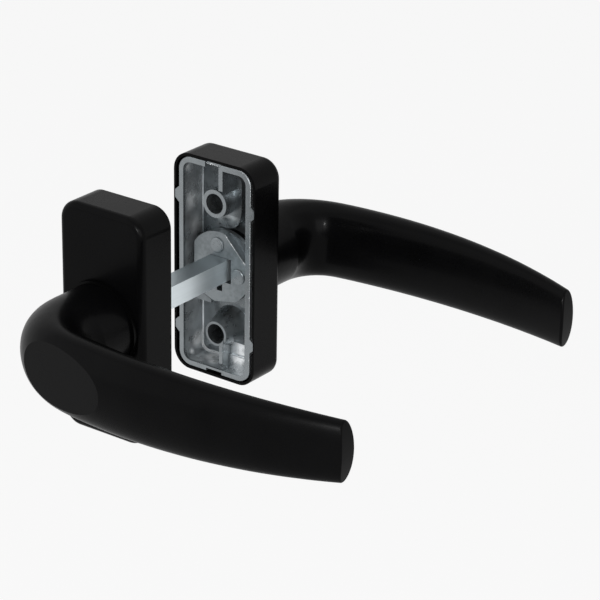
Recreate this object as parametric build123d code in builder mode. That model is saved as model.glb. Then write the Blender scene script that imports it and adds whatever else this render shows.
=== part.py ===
from build123d import *
import math
import os

# A pair of door levers on narrow rectangular roses, one for each side of the door leaf.
# X runs along the levers, Y along the square spindle, Z is up. Y = 0 is the face of the
# outer rose that lies on the door; the inner rose is its mirror image across the leaf.

# Door and spindle
door_gap = 39.3  # distance between the two mounting faces
spindle_side = 7.0
spindle_chamfer = 0.5
spindle_in_outer = 22.0  # how far the spindle enters the outer half
spindle_in_inner = 20.0  # how far it enters the inner half
socket_play = 0.06  # gap on each side of the spindle in a lever's socket
thickness_take_up = 6.0  # how much nearer the inner half can come on a thinner leaf

# Rose cover
cover_width = 31.0
cover_height = 71.0
cover_depth = 13.0
cover_corner = 6.0
cover_wall = 0.9
cover_face = 1.1
cover_edge_round = 2.0

# Cast base inside the cover
rim_wall = 1.75
rim_side_gap = 0.95  # between the rim and the long walls of the cover
rim_end_gap = 0.2  # between the rim and the short walls of the cover
rim_corner = 4.5
rim_chamfer = 0.2
base_floor = 2.4
floor_round = 0.75  # inner round between floor and walls
post_pitch = 43.0
post_bore = 6.4
upper_post_tip = 8.9
upper_post_root = 9.8
upper_post_recess = 0.2  # how far its end lies behind the mounting face
lower_post_tip = 8.0
lower_post_root = 13.2
lower_post_recess = 1.0
web_offset = 2.4  # middle of the webs that tie the posts to the ends of the rim
upper_web_thick = 1.5
upper_web_slope = 0.9  # length of the sloping end beside the post
lower_web_thick = 1.2
lower_web_recess = 0.4
lower_web_slope = 2.0  # length of the sloping end beside the rim
web_drop = 1.6  # how far the top of a web falls along its sloping end
shelf_rise = 5.1  # raised floor on the right of the webs
shelf_step = 0.6
shelf_overlap = 1.4  # how far the lower shelf runs up beside the post
pad_width = 4.6  # the raised floor on the right of the upper web
pad_end_gap = 2.3  # between the pad and the upper end of the pocket
pad_corner = 2.2
pad_sweep = 7.6  # radius of the corner that leads round to the hub
pad_reach = 5.3  # how far the pad runs to the left below the post
ramp_start = 4.3  # distance below the post's middle at which the pad starts to fall
ramp_angle = 19.0
gate_reach = 3.5  # notch in the upper end, from the middle to its left side
gate_skin = 0.7  # thin outer wall left in that notch
gate_depth = 0.5  # how far the thin wall lies behind the mounting face
drain_width = 6.0  # notch in the outside of the lower end
drain_skin = 0.75
drain_depth = 4.0
lug_root = 5.0
lug_tip = 2.4
lug_reach = 0.45  # how far a clip lug enters the wall of the cover
lug_depth = 1.8
lug_clear = 0.12
ledge_level = 2.9  # depth of the two corner ledges that frame the driver
left_ledge_height = 12.6
left_ledge_inset = 8.5  # how far the left ledge stands in from the rim
right_ledge_height = 10.9
right_ledge_inset = 4.2
driver_clear = 0.3  # gap round the driver

# Guide bush between base, cover and neck
bush_wall = 1.4
bush_lip = 0.75
bush_flange = 0.7
bush_rise = 1.5  # how far the lip stands out of the cover
bush_seat = 0.05
running_play = 0.09
end_play = 0.2

# Driver stack riveted to the end of the lever
driver_level = 2.7
driver_thick = 2.5
driver_radius = 11.6
driver_side_flat = 9.8
driver_slant_flat = 9.4
driver_slant_angle = 45.0
driver_foot_flat = 10.9
driver_foot_angle = -78.5
driver_hole = 8.0
driver_hole_shift = 0.42
driver_key_width = 2.1
driver_key_reach = 7.6
disc_thick = 1.5
disc_radius = 11.4
rivet_circle = 7.3
rivet_angles = (97.0, 223.0, 350.0)
rivet_shaft = 2.8
rivet_head = 4.9
rivet_rise = 0.55
rivet_round = 0.4
rivet_length = 4.0  # how deep a rivet sits in the end of the lever

# Lever
neck_diameter = 25.7
shank_diameter = 18.0
neck_straight = 12.1  # straight neck in front of the cover
bend_radius = 18.4
grip_heading = 8.9  # angle at which the grip leaves the bend, away from the door
grip_radius = 180.0
lever_reach = 103.7  # from the spindle axis to the middle of the tip
grip_root_height = 24.3
grip_root_thick = 13.8
tip_height = 17.9
tip_thick = 6.0
grip_thick_fall = 1.1  # 1 is an even fall from root to tip, more is a later one
grip_height_fall = 2.3
grip_root_square = 0.6  # 0 is an ellipse, 1 a barrel with flat crown
tip_square = 1.0
tip_bow = 37.0
tip_edge = 0.6
facet_angle = 11.3
facet_x = 15.0  # where the depth of the flat is measured
facet_depth = 2.4  # how deep the flat is cut into the front of the bend

# Set screw in the underside of each neck
screw_diameter = 5.0
screw_length = 7.6
screw_setback = 6.0  # distance of the screw from the front of the cover
screw_hex = 2.5
screw_hex_depth = 3.0
screw_chamfer = 0.4
screw_play = 0.05

# Derived sizes
rim_width = cover_width - 2 * (cover_wall + rim_side_gap)
rim_height = cover_height - 2 * (cover_wall + rim_end_gap)
base_depth = cover_depth - cover_face
floor_level = base_depth - base_floor
pocket_width = rim_width - 2 * rim_wall
pocket_height = rim_height - 2 * rim_wall
pocket_corner = rim_corner - rim_wall
shelf_level = floor_level - shelf_rise
post_z = post_pitch / 2
hub_clear = driver_radius + driver_clear
pad_drop = (post_z - ramp_start - hub_clear) * math.tan(math.radians(ramp_angle))
upper_web_end = post_z + math.sqrt((upper_post_tip / 2) ** 2 - web_offset**2)
shank_end = driver_level + driver_thick + disc_thick
sleeve_inner = shank_diameter / 2 + running_play
sleeve_outer = sleeve_inner + bush_wall
lip_inner = neck_diameter / 2 + running_play
lip_outer = lip_inner + bush_lip
neck_end = base_depth + bush_flange + end_play
lug_tip_x = cover_width / 2 - cover_wall + lug_reach
socket_side = spindle_side + 2 * socket_play
screw_y = cover_depth + screw_setback


def at_depth(depth):
    """Plane parallel to the door, that far out from the mounting face, X right, Z up."""
    return Plane.XZ.offset(-depth)


middle = Plane.XZ.offset(door_gap / 2)


# Outer cover: a shallow cap with a round hole for the bush
with BuildPart() as outer_cover:
    with BuildSketch(at_depth(0)):
        RectangleRounded(cover_width, cover_height, cover_corner)
    extrude(amount=-cover_depth)
    fillet(outer_cover.faces().sort_by(Axis.Y)[-1].edges(), cover_edge_round)
    with BuildSketch(at_depth(0)):
        RectangleRounded(
            cover_width - 2 * cover_wall,
            cover_height - 2 * cover_wall,
            cover_corner - cover_wall,
        )
    extrude(amount=-base_depth, mode=Mode.SUBTRACT)
    with BuildSketch(at_depth(0)):
        Circle(lip_outer + bush_seat)
    extrude(amount=-cover_depth, mode=Mode.SUBTRACT)
    # Notches that the clip lugs of the base snap into
    with BuildSketch(at_depth(0)):
        for side in (-1, 1):
            for height in (-post_z, post_z):
                with Locations((side * (lug_tip_x + lug_clear) / 2, height)):
                    Rectangle(lug_tip_x + lug_clear, lug_root)
    extrude(amount=-(lug_depth + lug_clear), mode=Mode.SUBTRACT)
outer_cover.part.label = "outer_cover"


# Outer base: a die-cast tray with two hollow posts, webs, ledges and clip lugs
with BuildPart() as outer_base:
    with BuildSketch(at_depth(0)):
        RectangleRounded(rim_width, rim_height, rim_corner)
    extrude(amount=-base_depth)
    chamfer(outer_base.faces().sort_by(Axis.Y)[0].edges(), rim_chamfer)
    with BuildSketch(at_depth(0)):
        RectangleRounded(pocket_width, pocket_height, pocket_corner)
    extrude(amount=-floor_level, mode=Mode.SUBTRACT)
    fillet(outer_base.faces().filter_by(Axis.Y).sort_by(Axis.Y)[1].edges(), floor_round)
    # Notch in the upper end, open to the pocket, with a thin wall left outside
    with BuildSketch(at_depth(0)):
        with Locations((web_offset, rim_height / 2)):
            Rectangle(gate_reach + web_offset, gate_skin, align=(Align.MAX, Align.MAX))
    extrude(amount=-gate_depth, mode=Mode.SUBTRACT)
    with BuildSketch(at_depth(0)):
        with Locations((web_offset, rim_height / 2 - gate_skin)):
            Rectangle(
                gate_reach + web_offset,
                rim_wall - gate_skin + floor_round,
                align=(Align.MAX, Align.MAX),
            )
    extrude(amount=-floor_level, mode=Mode.SUBTRACT)
    # Notch in the outside of the lower end
    with BuildSketch(at_depth(0)):
        with Locations((0, -rim_height / 2)):
            Rectangle(drain_width, rim_wall - drain_skin, align=(Align.CENTER, Align.MIN))
    extrude(amount=-drain_depth, mode=Mode.SUBTRACT)
    # Raised pad on the right of the upper post, which sweeps round to the hub below it
    with BuildSketch(at_depth(shelf_level)):
        with BuildLine():
            FilletPolyline(
                (web_offset, post_z),
                (web_offset, pocket_height / 2 - pad_end_gap),
                (web_offset + pad_width, pocket_height / 2 - pad_end_gap),
                (web_offset + pad_width, hub_clear),
                (web_offset - pad_reach, hub_clear),
                radius=(pad_corner / 2, pad_corner, pad_sweep),
            )
            Polyline(
                (web_offset - pad_reach, hub_clear),
                (web_offset - pad_reach, post_z),
                (web_offset, post_z),
            )
        make_face()
    extrude(amount=-shelf_rise)
    # Ramp from the pad down to the hub
    with BuildSketch(Plane.YZ.offset(web_offset - pad_reach)):
        with BuildLine():
            Polyline(
                (shelf_level, post_z - ramp_start),
                (shelf_level + pad_drop, hub_clear),
                (shelf_level, hub_clear),
                close=True,
            )
        make_face()
    extrude(amount=pad_reach + pad_width, mode=Mode.SUBTRACT)
    # Posts that widen towards the floor
    with BuildSketch(at_depth(upper_post_recess)):
        with Locations((0, post_z)):
            Circle(upper_post_tip / 2)
    with BuildSketch(at_depth(floor_level)):
        with Locations((0, post_z)):
            Circle(upper_post_root / 2)
    loft()
    with BuildSketch(at_depth(lower_post_recess)):
        with Locations((0, -post_z)):
            Circle(lower_post_tip / 2)
    with BuildSketch(at_depth(floor_level)):
        with Locations((0, -post_z)):
            Circle(lower_post_root / 2)
    loft()
    # Upper web, which slopes away beside the post
    with BuildSketch(Plane.YZ.offset(web_offset - upper_web_thick / 2)):
        with BuildLine():
            Polyline(
                (0, rim_height / 2 - gate_skin),
                (0, upper_web_end + upper_web_slope),
                (web_drop, upper_web_end),
                (web_drop, post_z),
                (floor_level, post_z),
                (floor_level, rim_height / 2 - gate_skin),
                close=True,
            )
        make_face()
    extrude(amount=upper_web_thick)
    # Lower web, which slopes away beside the rim
    with BuildSketch(Plane.YZ.offset(web_offset - lower_web_thick / 2)):
        with BuildLine():
            Polyline(
                (lower_post_recess, -post_z),
                (lower_web_recess, -post_z - lower_post_tip / 2),
                (lower_web_recess, lower_web_slope - pocket_height / 2),
                (lower_web_recess + web_drop, -pocket_height / 2),
                (floor_level, -pocket_height / 2),
                (floor_level, -post_z),
                close=True,
            )
        make_face()
    extrude(amount=lower_web_thick)
    # Raised floor on the right of the lower web, in two levels
    shelf_top = -(post_z + lower_post_tip / 2 - shelf_overlap)
    shelf_mid = (shelf_top - pocket_height / 2) / 2
    for top, lift in ((shelf_top, shelf_rise), (shelf_mid, shelf_rise + shelf_step)):
        with BuildSketch(at_depth(floor_level)):
            with Locations(((web_offset + pocket_width / 2) / 2, (top - pocket_height / 2) / 2)):
                Rectangle(pocket_width / 2 - web_offset, top + pocket_height / 2)
        extrude(amount=lift)
    # Corner ledges below the driver, cut back by the circle that the driver turns in
    for side, width, height in (
        (-1, left_ledge_inset, left_ledge_height),
        (1, right_ledge_inset, right_ledge_height),
    ):
        with BuildSketch(at_depth(ledge_level)):
            with Locations((side * (pocket_width - width) / 2, -height / 2)):
                Rectangle(width, height)
            Circle(hub_clear, mode=Mode.SUBTRACT)
        extrude(amount=-(floor_level - ledge_level))
    # Clip lugs on both long sides
    for side in (-1, 1):
        for height in (-post_z, post_z):
            with BuildSketch(at_depth(0)):
                with BuildLine():
                    Polyline(
                        (side * (rim_width / 2 - rim_wall / 2), height - lug_root / 2),
                        (side * rim_width / 2, height - lug_root / 2),
                        (side * lug_tip_x, height - lug_tip / 2),
                        (side * lug_tip_x, height + lug_tip / 2),
                        (side * rim_width / 2, height + lug_root / 2),
                        (side * (rim_width / 2 - rim_wall / 2), height + lug_root / 2),
                        close=True,
                    )
                make_face()
            extrude(amount=-lug_depth)
    # Bore for the bush and the blind holes of the posts
    with BuildSketch(at_depth(0)):
        Circle(sleeve_outer + bush_seat)
    extrude(amount=-base_depth, mode=Mode.SUBTRACT)
    with BuildSketch(at_depth(0)):
        with Locations((0, -post_z), (0, post_z)):
            Circle(post_bore / 2)
    extrude(amount=-base_depth, mode=Mode.SUBTRACT)
outer_base.part.label = "outer_base"


# Outer bush: sleeve in the base, flange on it, and the lip that shows round the neck
with BuildPart() as outer_bush:
    with BuildSketch(Plane.XY):
        with BuildLine():
            Polyline(
                (sleeve_inner, shank_end + end_play),
                (sleeve_outer, shank_end + end_play),
                (sleeve_outer, base_depth),
                (lip_outer, base_depth),
                (lip_outer, cover_depth + bush_rise),
                (lip_inner, cover_depth + bush_rise),
                (lip_inner, base_depth + bush_flange),
                (sleeve_inner, base_depth + bush_flange),
                close=True,
            )
        make_face()
    revolve(axis=Axis.Y)
outer_bush.part.label = "outer_bush"


# Rivets that hold the driver stack on the shank, a flat head with a rounded rim on a shaft
rivet_points = [
    (rivet_circle * math.cos(math.radians(a)), rivet_circle * math.sin(math.radians(a)))
    for a in rivet_angles
]
head_level = driver_level - rivet_rise

with BuildPart() as outer_rivets:
    for x, z in rivet_points:
        stand = Plane(origin=(x, 0, z), x_dir=(1, 0, 0), z_dir=(0, 0, 1))
        with BuildSketch(stand):
            with BuildLine():
                Line((rivet_head / 2 - rivet_round, head_level), (0, head_level))
                Polyline(
                    (0, head_level),
                    (0, shank_end + rivet_length),
                    (rivet_shaft / 2, shank_end + rivet_length),
                    (rivet_shaft / 2, driver_level),
                    (rivet_head / 2, driver_level),
                    (rivet_head / 2, head_level + rivet_round),
                )
                RadiusArc(
                    (rivet_head / 2, head_level + rivet_round),
                    (rivet_head / 2 - rivet_round, head_level),
                    rivet_round,
                )
            make_face()
        revolve(axis=Axis((x, 0, z), (0, 1, 0)))
outer_rivets.part.label = "outer_rivets"


# Driver: a plate with flats, a square hole and a key slot, set on the end of the lever
with BuildPart() as outer_driver:
    with BuildSketch(at_depth(driver_level)):
        Circle(driver_radius)
        with Locations((-driver_side_flat, 0)):
            Rectangle(driver_radius, 2 * driver_radius, align=(Align.MAX, Align.CENTER),
                      mode=Mode.SUBTRACT)
        for angle, flat in (
            (driver_slant_angle, driver_slant_flat),
            (driver_foot_angle, driver_foot_flat),
        ):
            with Locations(Location((0, 0, 0), (0, 0, angle))):
                with Locations((flat, 0)):
                    Rectangle(driver_radius, 2 * driver_radius, align=(Align.MIN, Align.CENTER),
                              mode=Mode.SUBTRACT)
    extrude(amount=-driver_thick)
    with BuildSketch(at_depth(driver_level)):
        with Locations((driver_hole_shift, -driver_hole_shift)):
            Rectangle(driver_hole, driver_hole)
        with Locations((0, 0)):
            Rectangle(driver_key_width, driver_key_reach, align=(Align.CENTER, Align.MAX))
    extrude(amount=-driver_thick, mode=Mode.SUBTRACT)
    with BuildSketch(at_depth(driver_level)):
        with Locations(*rivet_points):
            Circle(rivet_shaft / 2)
    extrude(amount=-driver_thick, mode=Mode.SUBTRACT)
outer_driver.part.label = "outer_driver"


# Disc behind the driver that keeps the lever in the base
with BuildPart() as outer_disc:
    with BuildSketch(at_depth(driver_level + driver_thick)):
        Circle(disc_radius)
        Rectangle(socket_side, socket_side, mode=Mode.SUBTRACT)
        with Locations(*rivet_points):
            Circle(rivet_shaft / 2, mode=Mode.SUBTRACT)
    extrude(amount=-disc_thick)
outer_disc.part.label = "outer_disc"


# Lever: the middle line runs out along the neck, round the bend and back towards the door
bend_turn = math.radians(90 - grip_heading)
bend_start = cover_depth + neck_straight
grip_start_x = bend_radius * (1 - math.cos(bend_turn))
grip_start_y = bend_start + bend_radius * math.sin(bend_turn)
arc_centre_x = grip_start_x + grip_radius * math.sin(math.radians(grip_heading))
arc_centre_y = grip_start_y - grip_radius * math.cos(math.radians(grip_heading))
grip_turn = math.radians(grip_heading) + math.asin((lever_reach - arc_centre_x) / grip_radius)


def bend_station(part):
    """Middle line in the bend: part 0 at the neck, 1 at the root of the grip."""
    turn = bend_turn * part
    x = bend_radius * (1 - math.cos(turn))
    y = bend_start + bend_radius * math.sin(turn)
    return x, y, math.pi / 2 - turn


def grip_station(part):
    """Middle line along the grip: part 0 at the root, 1 at the tip."""
    heading = math.radians(grip_heading) - grip_turn * part
    x = arc_centre_x - grip_radius * math.sin(heading)
    y = arc_centre_y + grip_radius * math.cos(heading)
    return x, y, heading


def ease(part):
    """Smooth step from 0 to 1."""
    return (1 - math.cos(math.pi * part)) / 2


def quarter_points(width, height, square):
    """One quarter of a rounded section: handles of 0.55 give an ellipse, longer ones a barrel."""
    flank = 0.5523 + square * 0.24
    crown = 0.5523 - square * 0.06
    return [
        (width / 2, 0),
        (width / 2, height / 2 * flank),
        (width / 2 * crown, height / 2),
        (0, height / 2),
    ]


def section_plane(x, y, heading):
    """Plane square to the middle line: its x points away from the bend, its y is up."""
    return Plane(
        origin=(x, y, 0),
        x_dir=(-math.sin(heading), math.cos(heading), 0),
        z_dir=(math.cos(heading), math.sin(heading), 0),
    )


# The sections run on a little past both ends of the body, which are trimmed square later
neck_gap = (bend_start - neck_end) / 3
neck_sections = [
    (section_plane(0, neck_end + step * neck_gap, math.pi / 2), neck_diameter, neck_diameter, 0.0)
    for step in (-2, -1, 0, 1, 2)
]
bend_sections = []
for step in range(7):
    part = step / 6
    bend_sections.append((
        section_plane(*bend_station(part)),
        neck_diameter + (grip_root_thick - neck_diameter) * ease(part),
        neck_diameter + (grip_root_height - neck_diameter) * ease(part),
        grip_root_square * ease(part),
    ))
grip_sections = []
for step in range(1, 12):
    part = step / 9
    grip_sections.append((
        section_plane(*grip_station(part)),
        grip_root_thick - (grip_root_thick - tip_thick) * part**grip_thick_fall,
        grip_root_height - (grip_root_height - tip_height) * part**grip_height_fall,
        grip_root_square + (tip_square - grip_root_square) * part,
    ))

# Flat on the front of the bend
facet_y = bend_start + bend_radius + grip_root_thick / 2 - facet_depth
facet = Plane(
    origin=(facet_x, facet_y, 0),
    x_dir=(0, 0, 1),
    z_dir=(-math.sin(math.radians(facet_angle)), math.cos(math.radians(facet_angle)), 0),
)

with BuildPart() as outer_lever:
    for plane, width, height, square in neck_sections + bend_sections + grip_sections:
        corner = quarter_points(width, height, square)
        with BuildSketch(plane):
            with BuildLine():
                Bezier(*corner)
                Bezier(*[(-x, y) for x, y in reversed(corner)])
                Bezier(*[(-x, -y) for x, y in corner])
                Bezier(*[(x, -y) for x, y in reversed(corner)])
            make_face()
    loft()
    # Flat on the front of the bend
    with BuildSketch(facet):
        Rectangle(2 * neck_diameter, lever_reach)
    extrude(amount=bend_radius, mode=Mode.SUBTRACT)
    # Square end of the neck and bowed end of the grip
    bow_drop = tip_bow - math.sqrt(tip_bow**2 - neck_diameter**2)
    with BuildSketch(at_depth(neck_end)):
        with BuildLine():
            ThreePointArc(
                (lever_reach - bow_drop, -neck_diameter),
                (lever_reach, 0),
                (lever_reach - bow_drop, neck_diameter),
            )
            Polyline(
                (lever_reach - bow_drop, neck_diameter),
                (-neck_diameter, neck_diameter),
                (-neck_diameter, -neck_diameter),
                (lever_reach - bow_drop, -neck_diameter),
            )
        make_face()
    extrude(amount=-(neck_straight + 2 * bend_radius), mode=Mode.INTERSECT)
    fillet(outer_lever.faces().sort_by(Axis.X)[-1].edges(), tip_edge)
    # Shank that turns in the bush
    with BuildSketch(at_depth(shank_end)):
        Circle(shank_diameter / 2)
    extrude(amount=-(neck_end - shank_end))
    # Square socket for the spindle
    with BuildSketch(at_depth(shank_end)):
        Rectangle(socket_side, socket_side)
    extrude(amount=-(spindle_in_outer + end_play - shank_end), mode=Mode.SUBTRACT)
    # Holes for the rivets and the set screw
    with BuildSketch(at_depth(shank_end)):
        with Locations(*rivet_points):
            Circle(rivet_shaft / 2)
    extrude(amount=-rivet_length, mode=Mode.SUBTRACT)
    with BuildSketch(Plane.XY.offset(-neck_diameter)):
        with Locations((0, screw_y)):
            Circle(screw_diameter / 2 + screw_play)
    extrude(amount=neck_diameter, mode=Mode.SUBTRACT)
outer_lever.part.label = "outer_lever"


# Set screw, its tip just short of the spindle, a hexagon socket in its lower end
with BuildPart() as outer_set_screw:
    with BuildSketch(Plane.XY.offset(-(spindle_side / 2 + socket_play))):
        with Locations((0, screw_y)):
            Circle(screw_diameter / 2)
    extrude(amount=-screw_length)
    chamfer(outer_set_screw.edges().filter_by(GeomType.CIRCLE), screw_chamfer)
    with BuildSketch(Plane.XY.offset(-(spindle_side / 2 + socket_play + screw_length))):
        with Locations((0, screw_y)):
            RegularPolygon(screw_hex / 2, 6, major_radius=False)
    extrude(amount=screw_hex_depth, mode=Mode.SUBTRACT)
outer_set_screw.part.label = "outer_set_screw"


# Square spindle through both halves
with BuildPart() as spindle:
    with BuildSketch(at_depth(spindle_in_outer)):
        Rectangle(spindle_side, spindle_side)
    extrude(amount=spindle_in_outer + door_gap + spindle_in_inner)
    chamfer(spindle.faces().sort_by(Axis.Y)[0].edges(), spindle_chamfer)
    chamfer(spindle.faces().sort_by(Axis.Y)[-1].edges(), spindle_chamfer)
spindle.part.label = "spindle"


os.makedirs("parts", exist_ok=True)
export_step(spindle.part, "parts/spindle.step")

outer_pieces = {
    "cover": outer_cover,
    "base": outer_base,
    "bush": outer_bush,
    "driver": outer_driver,
    "disc": outer_disc,
    "rivets": outer_rivets,
    "lever": outer_lever,
    "set_screw": outer_set_screw,
}
for name, piece in outer_pieces.items():
    export_step(piece.part, f"parts/outer_{name}.step")

    # The inner half is the mirror image across the middle of the door leaf
    with BuildPart() as inner_piece:
        mirror(piece.part, about=middle)
        if name == "lever":
            # Its socket is deeper, so that the half can move in on a thinner leaf
            socket_end = spindle_in_inner + thickness_take_up + end_play
            with BuildSketch(Plane.XZ.offset(door_gap + shank_end)):
                Rectangle(socket_side, socket_side)
            extrude(amount=socket_end - shank_end, mode=Mode.SUBTRACT)
    inner_piece.part.label = f"inner_{name}"
    export_step(inner_piece.part, f"parts/inner_{name}.step")
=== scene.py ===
import math
import random

import bmesh
import bpy
from mathutils import Matrix, Vector


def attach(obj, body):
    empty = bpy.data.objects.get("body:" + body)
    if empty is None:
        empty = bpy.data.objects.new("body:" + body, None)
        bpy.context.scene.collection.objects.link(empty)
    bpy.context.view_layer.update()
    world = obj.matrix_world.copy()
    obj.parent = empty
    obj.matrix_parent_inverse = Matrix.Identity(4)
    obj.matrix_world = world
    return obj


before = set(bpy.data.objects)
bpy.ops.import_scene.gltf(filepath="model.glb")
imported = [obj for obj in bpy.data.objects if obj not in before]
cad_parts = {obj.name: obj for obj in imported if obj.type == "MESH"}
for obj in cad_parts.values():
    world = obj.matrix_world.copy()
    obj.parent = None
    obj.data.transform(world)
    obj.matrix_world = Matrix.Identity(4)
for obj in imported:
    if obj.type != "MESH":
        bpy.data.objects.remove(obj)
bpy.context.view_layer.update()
scene = bpy.context.scene
scene.view_settings.view_transform = "Standard"

DOOR_GAP = 0.0393  # distance between the two mounting faces
POST_Z = 0.0215  # height of the two hollow posts above and below the spindle
FLOOR_Z = -0.40  # far enough below that the object stands clear of the floor
FLOOR_HALF = 6  # half width of the floor
FLOOR_GLOW = 0.91  # share of its own colour where the floor is seen; the rest is lit and keeps the shadow
BACKDROP = 0.955  # white of the world where it is seen
FOCAL_PIXELS = 2632.96  # focal length, for a picture of 600 pixels
PICTURE_PIXELS = 600
SENSOR_WIDTH = 36

# Colours of the raw zinc: the rim's own, then lighter colours painted as highlights on the shelf, the
# walls and the round in the lower corner
RIM = (0.262, 0.284, 0.296)
SHELF_GLINT = (0.91, 0.94, 0.96)
WALL_DULL, WALL_GLINT_COLOUR = (0.46, 0.485, 0.50), (0.94, 0.96, 0.97)
ROUND_GLINT = (0.95, 0.97, 0.98)

# Painted highlights on the ramp below the upper post: centre, and the distances over which they fade
RAMP_GLINTS = (
    ((0.0040, 0.0049, 0.0146), 0.0015, 0.0042),
    ((-0.0010, 0.0052, 0.0136), 0.0008, 0.0036),
)

# Painted highlights on the walls of the pocket: centre, and the distances over which they fade
WALL_GLINT_SPOTS = (
    ((-0.0119, 0.0072, -0.0284), 0.0016, 0.0036),
    ((-0.0050, 0.0068, -0.0326), 0.0016, 0.0040),
    ((-0.0030, 0.0040, -0.0326), 0.0008, 0.0026),
    ((-0.0119, 0.0044, 0.0188), -0.0020, 0.0050),
    ((-0.0119, 0.0060, 0.0105), -0.0045, 0.0055),
    ((-0.0119, 0.0080, -0.0120), -0.0030, 0.0060),
    ((-0.0119, 0.0020, 0.0300), -0.0022, 0.0026),
    ((-0.0116, 0.0035, -0.0316), 0.0002, 0.0016),
)

# Camera at the photograph's viewing angle
azimuth, elevation, roll = (math.radians(v) for v in (36.306, 23.375, 0.945))
back = Vector((
    math.sin(azimuth) * math.cos(elevation),
    -math.cos(azimuth) * math.cos(elevation),
    math.sin(elevation),
))
level_right = Vector((math.cos(azimuth), math.sin(azimuth), 0))
level_up = back.cross(level_right)
cam_right = math.cos(roll) * level_right + math.sin(roll) * level_up
cam_up = -math.sin(roll) * level_right + math.cos(roll) * level_up
camera_data = bpy.data.cameras.new("camera")
camera_data.sensor_fit = "HORIZONTAL"
camera_data.sensor_width = SENSOR_WIDTH
camera_data.lens = FOCAL_PIXELS * SENSOR_WIDTH / PICTURE_PIXELS
camera_data.clip_start = 0.05
camera_data.clip_end = 40
camera = bpy.data.objects.new("camera", camera_data)
scene.collection.objects.link(camera)
eye = Vector((0.45692, -0.57758, 0.30874))
camera.matrix_world = Matrix((
    (cam_right.x, cam_up.x, back.x, eye.x),
    (cam_right.y, cam_up.y, back.y, eye.y),
    (cam_right.z, cam_up.z, back.z, eye.z),
    (0, 0, 0, 1),
))
scene.camera = camera


class Nodes:
    """A material's node tree, with short calls for the nodes that are used again and again."""

    def __init__(self, name):
        self.material = bpy.data.materials.new(name)
        self.material.use_nodes = True
        self.tree = self.material.node_tree
        self.tree.nodes.clear()
        self.shader = self.add("ShaderNodeBsdfPrincipled")
        out = self.add("ShaderNodeOutputMaterial")
        self.link(self.shader.outputs[0], out.inputs[0])
        coordinates = self.add("ShaderNodeTexCoord")
        self.place = coordinates.outputs["Object"]
        self.normal = coordinates.outputs["Normal"]

    def add(self, kind):
        return self.tree.nodes.new(kind)

    def link(self, a, b):
        self.tree.links.new(a, b)

    def stretched(self, scale):
        node = self.add("ShaderNodeMapping")
        node.inputs["Scale"].default_value = scale
        self.link(self.place, node.inputs["Vector"])
        return node.outputs[0]

    def noise(self, scale, detail=3.0, rough=0.5, place=None, distortion=0.0):
        node = self.add("ShaderNodeTexNoise")
        node.inputs["Scale"].default_value = scale
        node.inputs["Detail"].default_value = detail
        node.inputs["Roughness"].default_value = rough
        node.inputs["Distortion"].default_value = distortion
        self.link(place or self.place, node.inputs["Vector"])
        return node.outputs["Fac"]

    def remap(self, value, low, high, out_low=0.0, out_high=1.0):
        node = self.add("ShaderNodeMapRange")
        node.inputs["From Min"].default_value = low
        node.inputs["From Max"].default_value = high
        node.inputs["To Min"].default_value = out_low
        node.inputs["To Max"].default_value = out_high
        self.link(value, node.inputs["Value"])
        return node.outputs[0]

    def math(self, kind, a, b):
        node = self.add("ShaderNodeMath")
        node.operation = kind
        for socket, value in zip(node.inputs, (a, b)):
            if isinstance(value, (int, float)):
                socket.default_value = value
            else:
                self.link(value, socket)
        return node.outputs[0]

    def mix(self, factor, a, b):
        node = self.add("ShaderNodeMix")
        node.data_type = "RGBA"
        self.link(factor, node.inputs["Factor"])
        for socket, value in ((node.inputs[6], a), (node.inputs[7], b)):
            if isinstance(value, tuple):
                socket.default_value = (*value, 1)
            else:
                self.link(value, socket)
        return node.outputs[2]

    def bump(self, height, depth, strength=1.0, onto=None):
        node = self.add("ShaderNodeBump")
        node.inputs["Strength"].default_value = strength
        node.inputs["Distance"].default_value = depth
        self.link(height, node.inputs["Height"])
        if onto is not None:
            self.link(onto, node.inputs["Normal"])
        return node.outputs[0]

    def within(self, place, across, height):
        """One where X and Z both lie past the given spans."""
        beside = self.remap(place.outputs["X"], *across)
        return self.math("MULTIPLY", beside, self.remap(place.outputs["Z"], *height))

    def post(self, place, height):
        """One at a post that stands at that height."""
        rise = self.math("SUBTRACT", place.outputs["Z"], height)
        square = self.math("ADD", self.math("POWER", place.outputs["X"], 2), self.math("POWER", rise, 2))
        return self.remap(self.math("SQRT", square, 0), 0.0068, 0.0060)

    def spot(self, place, centre, near, far):
        """One within that distance of a point, fading out to nought further away."""
        node = self.add("ShaderNodeVectorMath")
        node.operation = "DISTANCE"
        self.link(place, node.inputs[0])
        node.inputs[1].default_value = centre
        return self.remap(node.outputs["Value"], far, near)

    def edge(self, place, across, height):
        """One near the long or the short sides of the rosette."""
        beside = self.remap(self.math("ABSOLUTE", place.outputs["X"], 0), *across)
        ends = self.remap(self.math("ABSOLUTE", place.outputs["Z"], 0), *height)
        return self.math("MAXIMUM", beside, ends)

    def set(self, name, value):
        socket = self.shader.inputs[name]
        if isinstance(value, (int, float)):
            socket.default_value = value
        else:
            self.link(value, socket)


def paint(name, dark, light, rough, specular):
    """Satin powder coat: fine grain, faint cloudiness and a slightly uneven gloss."""
    n = Nodes(name)
    cloud = n.noise(55, 3)
    grain = n.noise(2600, 2, 0.6)
    peel = n.noise(420, 2)
    tone = n.math("ADD", n.math("MULTIPLY", cloud, 0.7), n.math("MULTIPLY", grain, 0.3))
    n.set("Base Color", n.mix(n.remap(tone, 0.35, 0.65), dark, light))
    n.set("Roughness", n.remap(n.math("ADD", cloud, grain), 0.7, 1.3, rough - 0.05, rough + 0.05))
    n.set("Specular IOR Level", specular)
    n.set("Coat Weight", 0.024)
    n.set("Coat Roughness", 0.12)
    relief = n.bump(peel, 0.00002, 0.5)
    n.set("Normal", n.bump(grain, 0.00001, 0.6, relief))
    return n.material


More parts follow.
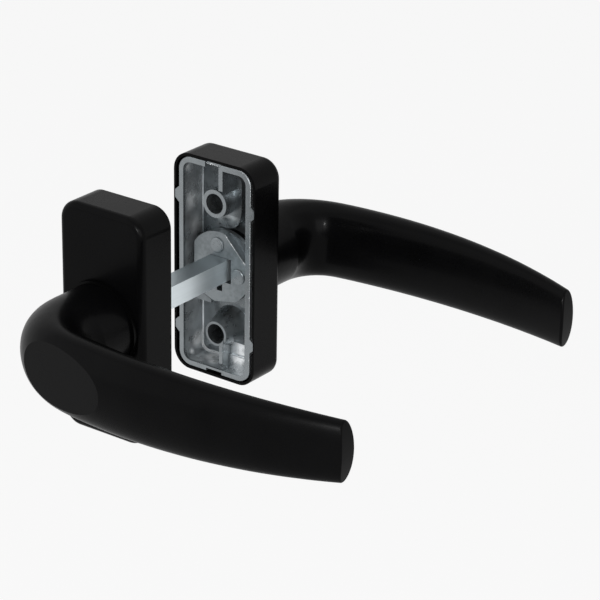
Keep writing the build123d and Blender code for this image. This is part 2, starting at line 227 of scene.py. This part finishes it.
def cast_zinc(name, dull, bright, rough, pocket=False):
    """Raw die-cast zinc, with painted highlights: colour painted brighter where the surface tilts away
    from the mounting face, as on walls, rounds and soft dents, and dull where it lies flat.
    """
    n = Nodes(name)
    where = n.add("ShaderNodeSeparateXYZ")
    n.link(n.place, where.inputs[0])
    # Place with Y as the depth behind the mounting face, the same for both halves
    middle_depth = n.math("ABSOLUTE", n.math("ADD", where.outputs["Y"], DOOR_GAP / 2), 0)
    folded = n.add("ShaderNodeCombineXYZ")
    n.link(where.outputs["X"], folded.inputs["X"])
    n.link(n.math("SUBTRACT", middle_depth, DOOR_GAP / 2), folded.inputs["Y"])
    n.link(where.outputs["Z"], folded.inputs["Z"])
    inner = n.remap(middle_depth, DOOR_GAP / 2 + 0.0003, DOOR_GAP / 2 + 0.0013)
    flow = n.noise(60, 4, 0.5, n.stretched((1, 1, 0.4)), 1.2)
    patch = n.noise(240, 3, 0.5)
    pore = n.noise(700, 2, 0.5)
    mottled = n.remap(n.math("ADD", flow, patch), 0.75, 1.25)
    calm = inner
    if pocket:
        posts = n.math("MAXIMUM", n.post(where, POST_Z), n.post(where, -POST_Z))
        border = n.edge(where, (0.0098, 0.0118), (0.0288, 0.0312))
        calm = n.math("MULTIPLY", inner, n.remap(n.math("MAXIMUM", posts, border), 0, 1, 1.0, 0.22))
    dent = n.math("SUBTRACT", n.noise(110, 2, 0.5), 0.5)
    relief = n.bump(n.math("MULTIPLY", dent, calm), 0.0008, 0.5)
    relief = n.bump(n.math("MULTIPLY", n.math("SUBTRACT", patch, 0.5), calm), 0.00010, 0.5, relief)
    split = n.add("ShaderNodeSeparateXYZ")
    n.link(relief, split.inputs[0])
    facing = n.math("ABSOLUTE", split.outputs["Y"], 0)
    # Painted highlight: colour brighter where the surface tilts away from the mounting face
    tilt_glint = n.remap(facing, 0.97, 0.80)
    tone = n.remap(mottled, 0, 1, 0.62, 1.22)
    metal = 0.9
    if pocket:
        # Painted shade: posts and webs are kept darker than the floor between them, with less of the
        # painted highlight
        web_left = n.remap(where.outputs["X"], 0.0026, 0.0029)
        webs = n.math("MULTIPLY", web_left, n.remap(where.outputs["X"], 0.0038, 0.0033))
        dark = n.math("MAXIMUM", posts, n.math("MULTIPLY", webs, n.remap(facing, 0.9, 0.5)))
        tilt_glint = n.math("MULTIPLY", tilt_glint, n.remap(dark, 0, 1, 1.0, 0.28))
        # Painted highlight on the shelf beside the lower post, painted shade in the corner beside the
        # upper one
        shelf = n.math("MULTIPLY", n.within(where, (0.003, 0.0045), (-0.022, -0.026)), inner)
        tilt_glint = n.math("MAXIMUM", tilt_glint, n.math("MULTIPLY", shelf, n.remap(mottled, 0, 1, 0.5, 1.0)))
        for centre, near, far in RAMP_GLINTS:
            ramp_glint = n.spot(folded.outputs[0], centre, near, far)
            ramp_glint = n.math("MULTIPLY", ramp_glint, n.remap(facing, 0.99, 0.96))
            tilt_glint = n.math("MAXIMUM", tilt_glint, n.math("MULTIPLY", ramp_glint, n.remap(mottled, 0, 1, 0.5, 0.9)))
        # Painted shade in the corner beside the upper post
        shade = n.math("MULTIPLY", n.within(where, (0.0035, 0.006), (0.010, 0.014)), inner)
        tone = n.math("MULTIPLY", tone, n.remap(shade, 0, 1, 1.0, 0.5))
    body = n.mix(tilt_glint, dull, bright)
    if pocket:
        # The shelf is painted near white as a highlight
        shelf = n.math("MULTIPLY", shelf, n.remap(mottled, 0.15, 0.6, 0.25, 1.0))
        body = n.mix(shelf, body, SHELF_GLINT)
        # Walls of the pocket painted lighter than the floor, with brighter painted highlights in places
        wall = n.math("MULTIPLY", n.math("MULTIPLY", border, inner), n.remap(webs, 0, 1, 1.0, 0.0))
        wall = n.math("MULTIPLY", wall, n.remap(facing, 0.75, 0.45))
        wall_glint = None
        for centre, near, far in WALL_GLINT_SPOTS:
            spot = n.spot(folded.outputs[0], centre, near, far)
            wall_glint = spot if wall_glint is None else n.math("MAXIMUM", wall_glint, spot)
        wall_glint = n.math("MULTIPLY", wall_glint, n.remap(mottled, 0.1, 0.6, 0.6, 1.0))
        wall_glint = n.math("MAXIMUM", wall_glint, 0.16)
        body = n.mix(wall, body, n.mix(wall_glint, WALL_DULL, WALL_GLINT_COLOUR))
        # Painted highlight on the round between floor and walls in the lower left corner
        round_glint = n.remap(middle_depth, DOOR_GAP / 2 + 0.0084, DOOR_GAP / 2 + 0.0088)
        round_glint = n.math("MULTIPLY", round_glint, n.remap(facing, 0.96, 0.86))
        corner = n.spot(folded.outputs[0], (-0.0085, 0.0095, -0.0322), 0.0035, 0.0085)
        round_glint = n.math("MULTIPLY", round_glint, corner)
        body = n.mix(round_glint, body, ROUND_GLINT)
        metal = n.remap(n.math("MAXIMUM", n.math("MULTIPLY", wall, wall_glint), round_glint), 0, 1, 0.9, 0.05)
        body = n.mix(inner, RIM, body)
    colour = n.add("ShaderNodeMix")
    colour.data_type = "RGBA"
    colour.blend_type = "MULTIPLY"
    n.link(n.remap(inner, 0, 1, 0.35, 1.0), colour.inputs["Factor"])
    n.link(body, colour.inputs[6])
    n.link(tone, colour.inputs[7])
    n.set("Base Color", colour.outputs[2])
    n.set("Metallic", metal)
    n.set("Roughness", n.remap(n.math("ADD", flow, patch), 0.75, 1.25, rough - 0.06, rough + 0.08))
    n.set("Normal", n.bump(pore, 0.00001, 0.3, relief))
    return n.material


def drawn(name, flat, side, rough):
    """Bright drawn bar: long faint lines, with painted shade on its upper and lower faces, which are
    darker than its sides, and half as bright on its rounded edges.
    """
    n = Nodes(name)
    lines = n.noise(900, 2, 0.5, n.stretched((1, 0.03, 1)))
    facing = n.add("ShaderNodeSeparateXYZ")
    n.link(n.normal, facing.inputs[0])
    upper = n.math("ABSOLUTE", facing.outputs["Z"], 0)
    corner = n.math("MULTIPLY", n.math("ABSOLUTE", facing.outputs["X"], 0), upper)
    upper = n.remap(upper, 0.4, 0.6)
    shine = n.remap(lines, 0.3, 0.7, 0.97, 1.03)
    shine = n.math("MULTIPLY", shine, n.remap(corner, 0.2, 0.4, 1.0, 0.5))
    colour = n.add("ShaderNodeMix")
    colour.data_type = "RGBA"
    colour.blend_type = "MULTIPLY"
    colour.inputs["Factor"].default_value = 1
    # Painted shade: upper and lower faces darker than the sides
    n.link(n.mix(upper, side, flat), colour.inputs[6])
    n.link(shine, colour.inputs[7])
    n.set("Base Color", colour.outputs[2])
    n.set("Metallic", 0.9)
    n.set("Roughness", n.remap(lines, 0.3, 0.7, rough - 0.02, rough + 0.03))
    n.set("Normal", n.bump(lines, 0.000002, 0.3))
    return n.material


def plated(name, dark, light, rough, metal=0.9):
    """Zinc-plated steel: fine pressed marks and a slightly cloudy coat."""
    n = Nodes(name)
    lines = n.noise(900, 2, 0.5)
    cloud = n.noise(110, 3)
    tone = n.math("ADD", n.math("MULTIPLY", lines, 0.5), n.math("MULTIPLY", cloud, 0.5))
    n.set("Base Color", n.mix(n.remap(tone, 0.38, 0.62), dark, light))
    n.set("Metallic", metal)
    n.set("Roughness", n.remap(lines, 0.3, 0.7, rough - 0.04, rough + 0.05))
    n.set("Normal", n.bump(lines, 0.000004, 0.4))
    return n.material


looks = {
    "lever": paint("lever_paint", (0.0010, 0.0010, 0.0011), (0.0020, 0.0020, 0.0022), 0.31, 0.041),
    "cover": paint("cover_paint", (0.0009, 0.0009, 0.0010), (0.0018, 0.0018, 0.0020), 0.30, 0.042),
    "bush": paint("bush_paint", (0.0009, 0.0009, 0.0009), (0.0018, 0.0018, 0.0019), 0.26, 0.042),
    "base": cast_zinc("base_zinc", (0.180, 0.198, 0.208), (0.60, 0.64, 0.66), 0.27, True),
    "driver": plated("driver_steel", (0.175, 0.195, 0.205), (0.250, 0.275, 0.288), 0.34),
    "disc": cast_zinc("disc_zinc", (0.15, 0.165, 0.175), (0.42, 0.45, 0.47), 0.36),
    "rivets": plated("rivet_steel", (0.21, 0.23, 0.24), (0.26, 0.285, 0.30), 0.30),
    "set_screw": plated("screw_steel", (0.010, 0.010, 0.011), (0.025, 0.025, 0.027), 0.40),
}
for name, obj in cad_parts.items():
    kind = name.split("_", 1)[1] if "_" in name else name
    if name == "spindle":
        obj.data.materials[0] = drawn("spindle_steel", (0.375, 0.425, 0.450), (0.78, 0.85, 0.88), 0.34)
    else:
        obj.data.materials[0] = looks[kind]


def piece(name, body, bm, material):
    """A finished mesh that rides on that body and takes its finish from that slot."""
    mesh = bpy.data.meshes.new(name)
    bm.to_mesh(mesh)
    bm.free()
    mesh.materials.append(material)
    obj = bpy.data.objects.new(name, mesh)
    scene.collection.objects.link(obj)
    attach(obj, body)


def scales(points, sizes, seed):
    """Ragged little scales of metal along a line of points."""
    rng = random.Random(seed)
    bm = bmesh.new()
    for point in points:
        size = rng.uniform(*sizes)
        angle = rng.uniform(0, 6.28)
        axis = Vector([rng.uniform(-1, 1) for _ in range(3)]).normalized()
        turn = Matrix.Rotation(angle, 4, axis)
        shape = Matrix.Diagonal((size, size * rng.uniform(0.35, 0.7), size * rng.uniform(0.6, 1.3), 1))
        at = Matrix.Translation(point) @ turn @ shape
        made = bmesh.ops.create_icosphere(bm, subdivisions=1, radius=1, matrix=at)
        for vert in made["verts"]:
            vert.co += Vector([rng.uniform(-0.25, 0.25) * size for _ in range(3)])
    return bm


def halves(name, part, make, material):
    """The same piece on the outer half and, as its mirror image, on the inner half."""
    for half in ("outer", "inner"):
        bm = make()
        if half == "inner":
            for vert in bm.verts:
                vert.co.y = -DOOR_GAP - vert.co.y
            bmesh.ops.reverse_faces(bm, faces=bm.faces)
        piece(half + "_" + name, half + "_" + part, bm, material)


# Casting fins along the edges of the base and the driver, partly real and partly painted highlight: near
# white and only partly metallic, so that they show as bright glints
flash_glint = plated("flash_glint_zinc", (0.50, 0.53, 0.55), (0.93, 0.95, 0.96), 0.32, 0.3)


def rim_flash_glints():
    """Fine scales along the right side of the rim and round its upper corner."""
    rng = random.Random(3)
    corner = 0.00444
    points = []
    for k in range(150):
        z = -0.0297 + 0.0605 * (k + rng.uniform(-0.4, 0.4)) / 149
        points.append(Vector((0.01359, 0.00014, z)))
    for k in range(26):
        a = math.radians(4 + 82 * (k + rng.uniform(-0.4, 0.4)) / 25)
        points.append(Vector((0.00915 + corner * math.cos(a), 0.00014, 0.0299 + corner * math.sin(a))))
    return scales(points, (0.00005, 0.00014), 4)


def gate_flash_glints():
    """Coarser scales where the gate was broken off."""
    rng = random.Random(8)
    points = []
    for k in range(44):
        x = -0.0033 + 0.0055 * k / 43
        points.append(Vector((x, rng.uniform(0.0005, 0.0008), rng.uniform(0.03360, 0.03385))))
    return scales(points, (0.00008, 0.00022), 9)


def ridge(bm, a, b, across, lift):
    """A thin smooth ridge between two points: its half width, and how far its crest stands out."""
    along = b - a
    side = along.cross(lift).normalized() * across
    steps = 12
    rows = []
    for k in range(steps + 1):
        at = a + along * (k / steps)
        thin = 0.35 + 0.65 * math.sin(math.pi * (0.08 + 0.84 * k / steps))
        row = [
            at - side * thin,
            at - side * 0.5 * thin + lift * 0.8 * thin,
            at + lift * thin,
            at + side * 0.5 * thin + lift * 0.8 * thin,
            at + side * thin,
        ]
        rows.append([bm.verts.new(v) for v in row])
    for one, two in zip(rows, rows[1:]):
        for k in range(4):
            bm.faces.new((one[k], one[k + 1], two[k + 1], two[k]))
    for k in (0, -1):
        bm.faces.new(rows[k] if k else rows[k][::-1])


def glint_ridges():
    """Thin raised ridges on the shelf and in the lower corner, painted bright as highlight lines."""
    bm = bmesh.new()
    out = Vector((0, -0.00007, 0))
    ridge(bm, Vector((0.0040, 0.00381, -0.0284)), Vector((0.0118, 0.00381, -0.0284)), 0.00022, out)
    ridge(bm, Vector((0.0063, 0.00441, -0.0246)), Vector((0.0063, 0.00441, -0.0282)), 0.00010, out)
    corner = Vector((0.00004, -0.00006, 0.00004))
    low, left, depth = -0.03244, -0.01169, 0.00930
    ridge(bm, Vector((-0.0090, depth, low)), Vector((0.0016, depth, low)), 0.00024, corner * 1.5)
    ridge(bm, Vector((left, depth, -0.0244)), Vector((left, depth, -0.0298)), 0.00022, corner * 1.5)
    bmesh.ops.recalc_face_normals(bm, faces=bm.faces)
    return bm


def driver_flash_glints():
    """Ragged edge along the driver's slanted flat."""
    rng = random.Random(5)
    a = math.radians(45)
    flat = 0.00938  # distance of the slanted flat from the spindle's axis
    points = []
    for k in range(70):
        t = -0.0062 + 0.0124 * (k + rng.uniform(-0.4, 0.4)) / 69
        x = flat * math.cos(a) - t * math.sin(a)
        z = flat * math.sin(a) + t * math.cos(a)
        points.append(Vector((x, 0.00266, z)))
    return scales(points, (0.00008, 0.00020), 6)


halves("rim_flash_glints", "rosette", rim_flash_glints, flash_glint)
halves("gate_flash_glints", "rosette", gate_flash_glints, flash_glint)
halves("glint_ridges", "rosette", glint_ridges, flash_glint)
halves("driver_flash_glints", "handle", driver_flash_glints, flash_glint)


def seen(tree):
    """One for the rays that show the backdrop: the camera's, and those in metal and glass."""
    rays = tree.nodes.new("ShaderNodeLightPath")
    value = rays.outputs["Is Camera Ray"]
    for kind in ("Is Glossy Ray", "Is Transmission Ray"):
        either = tree.nodes.new("ShaderNodeMath")
        either.operation = "MAXIMUM"
        tree.links.new(value, either.inputs[0])
        tree.links.new(rays.outputs[kind], either.inputs[1])
        value = either.outputs[0]
    return value


def pale(name, colour):
    """Floor that shows about its own colour and keeps the object's shadow."""
    n = Nodes(name)
    n.set("Base Color", n.mix(n.noise(3, 2), tuple(0.985 * c for c in colour), colour))
    n.set("Roughness", 0.9)
    n.set("Specular IOR Level", 0.1)
    glow = n.add("ShaderNodeEmission")
    glow.inputs["Color"].default_value = (*colour, 1)
    both = n.add("ShaderNodeMixShader")
    n.link(n.math("MULTIPLY", seen(n.tree), FLOOR_GLOW), both.inputs[0])
    n.link(n.shader.outputs[0], both.inputs[1])
    n.link(glow.outputs[0], both.inputs[2])
    out = [x for x in n.tree.nodes if x.type == "OUTPUT_MATERIAL"][0]
    n.link(both.outputs[0], out.inputs[0])
    return n.material


floor_mesh = bpy.data.meshes.new("floor")
corners = [(FLOOR_HALF * x, FLOOR_HALF * y, 0) for x, y in ((-1, -1), (1, -1), (1, 1), (-1, 1))]
floor_mesh.from_pydata(corners, [], [(0, 1, 2, 3)])
floor = bpy.data.objects.new("floor", floor_mesh)
floor.location = (0, 0, FLOOR_Z)
floor_mesh.materials.append(pale("floor_white", (0.975, 0.975, 0.975)))
scene.collection.objects.link(floor)

# World: white backdrop for the camera, a darker soft studio for light and reflections
world = bpy.data.worlds.new("studio")
scene.world = world
world.use_nodes = True
tree = world.node_tree
tree.nodes.clear()
place = tree.nodes.new("ShaderNodeTexCoord")
split = tree.nodes.new("ShaderNodeSeparateXYZ")
tree.links.new(place.outputs["Generated"], split.inputs[0])
height = tree.nodes.new("ShaderNodeMapRange")
height.inputs["From Min"].default_value = -0.3
height.inputs["From Max"].default_value = 1.0
height.inputs["To Min"].default_value = 0.14
height.inputs["To Max"].default_value = 0.50
tree.links.new(split.outputs["Z"], height.inputs["Value"])
both = tree.nodes.new("ShaderNodeMix")
both.data_type = "RGBA"
both.inputs[7].default_value = (BACKDROP, BACKDROP, BACKDROP, 1)
tree.links.new(height.outputs[0], both.inputs[6])
tree.links.new(seen(tree), both.inputs["Factor"])
sky = tree.nodes.new("ShaderNodeBackground")
tree.links.new(both.outputs[2], sky.inputs["Color"])
out = tree.nodes.new("ShaderNodeOutputWorld")
tree.links.new(sky.outputs[0], out.inputs[0])


def lamp(name, place, aim, width, watts):
    data = bpy.data.lights.new(name, "AREA")
    data.shape = "RECTANGLE"
    data.size = width
    data.size_y = width
    data.energy = watts
    obj = bpy.data.objects.new(name, data)
    obj.location = place
    obj.rotation_euler = (Vector(aim) - Vector(place)).to_track_quat("-Z", "Y").to_euler()
    scene.collection.objects.link(obj)


def towards(azimuth, elevation, distance):
    """Place at that distance from the object: azimuth 0 is in front, 90 on the right."""
    a, e = math.radians(azimuth), math.radians(elevation)
    return (
        distance * math.sin(a) * math.cos(e),
        -distance * math.cos(a) * math.cos(e),
        distance * math.sin(e),
    )


middle = (0.03, -0.02, 0.0)
lamp("key", towards(20, 21, 1.1), (0.016, 0.037, 0.007), 0.12, 5.1)
lamp("window", towards(-36, 25, 1.2), middle, 1.2, 1.53)
lamp("fill", towards(50, 20, 1.2), middle, 0.7, 3.4)
lamp("top", (0.0, 0.1, 1.3), middle, 1.3, 2.55)
